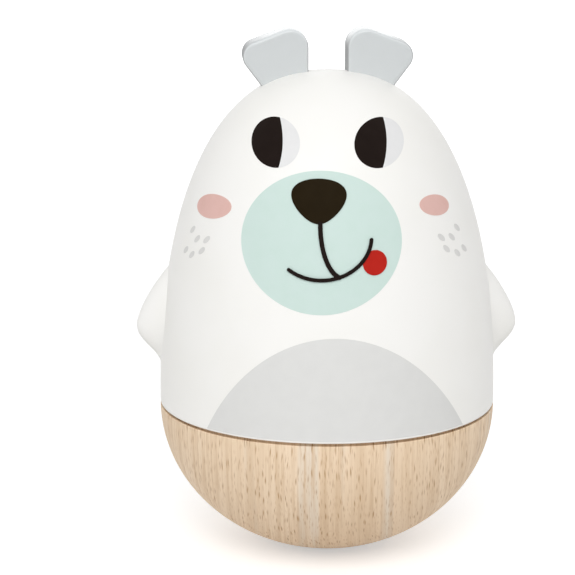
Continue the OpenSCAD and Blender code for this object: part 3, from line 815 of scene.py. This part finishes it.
def freckle(spot, place):
    """A short leaning stroke."""
    x = spot["side"] * place[0] * FRECKLE_SPREAD.x
    z = spot["z"] + place[1] * FRECKLE_SPREAD.y
    return ellipse((x, z), FRECKLE_W, FRECKLE_L, spot["side"] * FRECKLE_LEAN)


def sheet(columns, rows):
    """A flat grid from -1 to 1 across and up, facing forwards."""
    mesh = bmesh.new()
    bmesh.ops.create_grid(mesh, x_segments=columns, y_segments=rows, size=1, matrix=UPRIGHT)
    return mesh


def eye_outline(middle_x, dark):
    """One part of an eye: the dark one or the pale one, on either side of a curved edge."""

    def outline(x, z):
        angle = z * math.pi / 2
        height = EYE_H / 2 * math.sin(angle)
        half = EYE_W / 2 * math.cos(angle)
        split = EYE_SPLIT - EYE_SPLIT_R + math.sqrt(EYE_SPLIT_R**2 - height**2)
        split = min(max(split, -half), half)
        left, right = (-half, split) if dark else (split, half)
        share = (x + 1) / 2
        return (middle_x + left + (right - left) * share, EYE_Z + height)

    return outline


def print_eyes(node, slot, dark):
    """The same part of both eyes."""
    meshes = []
    for side in (-1, 1):
        mesh = sheet(*EYE_GRID)
        press_on(mesh, BODY_LAYER, 0, eye_outline(side * EYE_PITCH / 2 + EYE_SHIFT, dark))
        meshes.append(mesh)
    film(node, join(meshes), slot)


def print_belly():
    """The belly patch: an ellipse cut off at the seam."""
    tall = BELLY_TOP + BELLY_DROP
    start = math.asin((BELLY_HEM + BELLY_DROP) / tall)

    def outline(x, z):
        angle = start + (math.pi / 2 - start) * (z + 1) / 2
        half = BELLY_W / 2 * math.cos(angle)
        return (BELLY_SHIFT + x * half, tall * math.sin(angle) - BELLY_DROP)

    mesh = sheet(*BELLY_GRID)
    press_on(mesh, BODY_LAYER, 0, outline)
    film("belly_print", mesh, "print_belly_grey")


def stroke(middle, reach, w, start, end):
    """A line of width w along part of an ellipse, with round ends, pressed on the muzzle."""
    mesh = bmesh.new()
    across = [mesh.verts.new((1 + side, 0, 0)) for side in (-0.5, 0, 0.5)]
    edges = [mesh.edges.new(pair) for pair in zip(across, across[1:])]
    bmesh.ops.spin(
        mesh, geom=across + edges, cent=(0, 0, 0), axis=(0, -1, 0), angle=end - start, steps=LINE_STEPS
    )
    bmesh.ops.rotate(mesh, cent=(0, 0, 0), matrix=Matrix.Rotation(-start, 3, "Y"), verts=mesh.verts)

    def outline(x, z):
        angle = math.atan2(z, x)
        on_line = Vector((reach.x * math.cos(angle), reach.y * math.sin(angle)))
        outward = Vector((reach.y * math.cos(angle), reach.x * math.sin(angle))).normalized()
        return middle + on_line + outward * (math.hypot(x, z) - 1) * w

    press_on(mesh, MOUTH_LAYER, 0, outline)
    meshes = [mesh]
    for angle in (start, end):
        tip = disc(*LINE_END_GRID)
        spot = middle + Vector((reach.x * math.cos(angle), reach.y * math.sin(angle)))
        press_on(tip, MOUTH_LAYER, 0, ellipse(spot, w, w))
        meshes.append(tip)
    return meshes


def print_mouth():
    """The smile, and the short line from the nose down to it."""
    meshes = stroke(MOUTH, MOUTH_REACH, MOUTH_LINE, MOUTH_START, MOUTH_END)
    meshes += stroke(LIP, LIP_REACH, LIP_LINE, LIP_START, LIP_END)
    film("mouth_print", join(meshes), "print_black")


def make_toy():
    """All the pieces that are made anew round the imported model."""
    piece("body_shell_turned", spun(body_profile()), "white_lacquer", "body_shell")
    lay_grain(piece("base_bowl_turned", spun(bowl_profile()), "beech", "base_bowl"))
    for side, end in ((-1, "left"), (1, "right")):
        ear(side, "ear_" + end)
        arm(side, "arm_" + end)
    muzzle = [(0, ellipse(MUZZLE, MUZZLE_W, MUZZLE_H))]
    print_discs("muzzle_print", "print_mint", BODY_LAYER, muzzle, MUZZLE_GRID)
    print_discs("nose_print", "print_brown_black", MUZZLE_LAYER, [(0, nose_outline)], NOSE_GRID)
    tongue = [(0, ellipse(TONGUE, TONGUE_W, TONGUE_H))]
    print_discs("tongue_print", "print_red", MUZZLE_LAYER, tongue, TONGUE_GRID)
    cheeks = [
        (spot["turn"], ellipse((0, spot["z"]), spot["w"], spot["h"], spot["tilt"])) for spot in CHEEKS
    ]
    print_discs("cheek_prints", "print_pink", BODY_LAYER, cheeks, CHEEK_GRID)
    freckles = [(spot["turn"], freckle(spot, place)) for spot in FRECKLES for place in FRECKLE_PLACES]
    print_discs("freckle_prints", "print_freckle_grey", BODY_LAYER, freckles, FRECKLE_GRID)
    print_eyes("eye_dark_prints", "print_black", True)
    print_eyes("eye_light_prints", "print_pale_grey", False)
    print_belly()
    print_mouth()


def finish_cad_nodes():
    """Gives every CAD node the finish of its slot, which shows on those that keep their shape."""
    for part in frame["record"]["subparts"]:
        node = frame["nodes"][part["node"]]
        node.data.materials.clear()
        node.data.materials.append(FINISHES[part["material_slot"]])


def softbox(name, place, size, power):
    """A soft lamp that faces the toy."""
    data = bpy.data.lights.new(name, "AREA")
    data.shape = "SQUARE"
    data.size = size
    data.energy = power
    lamp = add_object(name, data)
    lamp.location = place
    lamp.rotation_euler = (LAMP_AIM - lamp.location).to_track_quat("-Z", "Y").to_euler()


def floor():
    """White paper. It keeps the toy's shadow, and further off it shows white and gives less light."""
    mesh = bmesh.new()
    bmesh.ops.create_circle(mesh, cap_ends=True, segments=PAPER_STEPS, radius=PAPER_R)
    data = bpy.data.meshes.new("floor")
    mesh.to_mesh(data)
    mesh.free()
    ground = add_object("floor", data)
    made = material("floor_paper", roughness=1.0, specular_ior_level=0.0)
    spot = made.node("ShaderNodeTexCoord", out="Object")
    reach = made.node("ShaderNodeVectorMath", {"operation": "LENGTH"}, {0: spot}, out="Value")
    far = made.step(reach, PAPER_NEAR, PAPER_FAR)
    made.set(base_color=made.mix(far, PAPER_NEAR_WHITE, PAPER_FAR_WHITE))
    strength = made.seen() * (PAPER_GLOW + (1 - PAPER_GLOW) * far)
    glow = made.node("ShaderNodeEmission", {}, {"Color": WHITE, "Strength": strength})
    lit = Wire(made, made.shader.outputs[0])
    both = made.node("ShaderNodeAddShader", {}, {0: lit, 1: glow})
    made.feed(made.tree.nodes["Material Output"].inputs["Surface"], both)
    data.materials.append(made.look)


def studio():
    """An even white surround, a soft lamp in front and above, and weaker ones at the left and behind."""
    surround = Finish(bpy.data.worlds.new("studio"), color=WHITE)
    surround.set(strength=SURROUND + (1 - SURROUND) * surround.seen())
    bpy.context.scene.world = surround.look
    for lamp in LAMPS:
        softbox(**lamp)


def camera():
    """Stands where the photograph was taken from."""
    back = Vector((
        math.sin(VIEW_TURN) * math.cos(VIEW_RISE),
        -math.cos(VIEW_TURN) * math.cos(VIEW_RISE),
        math.sin(VIEW_RISE),
    ))
    right = Vector((math.cos(VIEW_TURN), math.sin(VIEW_TURN), 0))
    up = back.cross(right)
    seam = Vector((0, 0, SEAM))
    place = seam + back * VIEW_REACH
    centre = Vector((PHOTO_PIXELS, PHOTO_PIXELS)) / 2
    shift = (SEAM_PIXEL - centre) / FOCUS_PIXELS * VIEW_REACH
    aim = seam - right * shift.x + up * shift.y
    data = bpy.data.cameras.new("camera")
    data.lens = FOCUS_PIXELS * data.sensor_width / PHOTO_PIXELS
    data.clip_start = CLIP_START
    made = add_object("camera", data)
    made.location = place
    made.rotation_euler = (aim - place).to_track_quat("-Z", "Y").to_euler()
    bpy.context.scene.camera = made


bpy.context.scene.view_settings.view_transform = "Standard"
camera()
finish_cad_nodes()
make_toy()
studio()
floor()
